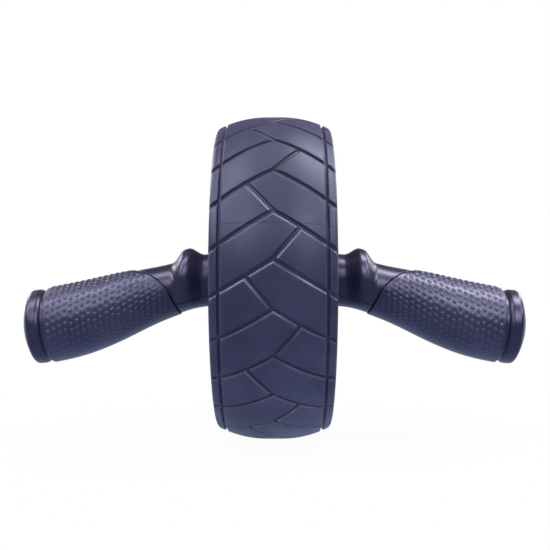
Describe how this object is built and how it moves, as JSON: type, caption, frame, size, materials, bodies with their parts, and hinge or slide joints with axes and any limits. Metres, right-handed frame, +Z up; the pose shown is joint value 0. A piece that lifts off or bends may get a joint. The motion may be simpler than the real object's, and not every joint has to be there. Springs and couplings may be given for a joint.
{
  "type": "ab wheel roller",
  "caption": "Exercise roller with a wide chevron-treaded wheel on a sprung axle between two drooping, dotted grips with finger stops and domed end caps.",
  "frame": {"origin": "on the floor under the middle of the wheel, where the tread stands", "axes": "+X along the axle to the right-hand handle in the picture, +Y away from the camera, +Z up"},
  "size_m": [0.2982, 0.19, 0.19],
  "materials": {
    "tyre": "matt moulded rubber with a bevelled chevron tread",
    "rim": "fine moulded texture",
    "side_cover": "fine moulded texture with recessed panels",
    "axle": "turned bar",
    "bush": "natural acetal",
    "washer": "natural nylon",
    "spring_core": "glass-filled nylon",
    "spring": "blued spring strip",
    "pin": "ground pin",
    "screw": "black zinc",
    "handle": "polished moulding",
    "grip": "matt rubber with raised dots",
    "cap": "polished moulding"
  },
  "bodies": {
    "handles": {"axle": "axle", "spring_arbor": "spring_core", "arbor_pin": "pin", "return_spring": "spring", "thrust_washer_right": "washer", "thrust_washer_left": "washer", "handle_shell_right": "handle", "handle_shell_left": "handle", "handle_cover_right": "handle", "handle_cover_left": "handle", "grip_right": "grip", "grip_left": "grip", "handle_screw_right": "screw", "handle_screw_left": "screw", "handle_pin_right": "pin", "handle_pin_left": "pin", "end_cap_right": "cap", "end_cap_left": "cap"},
    "wheel": {"tyre": "tyre", "rim_right": "rim", "rim_left": "rim", "rim_screws": "screw", "side_cover_right": "side_cover", "side_cover_left": "side_cover", "bush_right": "bush", "bush_left": "bush", "spring_anchor_pin": "pin"}
  },
  "joints": [
    {"name": "wheel_roll", "type": "hinge", "parent": "handles", "child": "wheel", "pos_m": [0, 0, 0.095], "axis": [1, 0, 0], "range_deg": [0, 630], "stiffness_Nm_per_rad": 0.6, "deforming": ["return_spring"]}
  ]
}
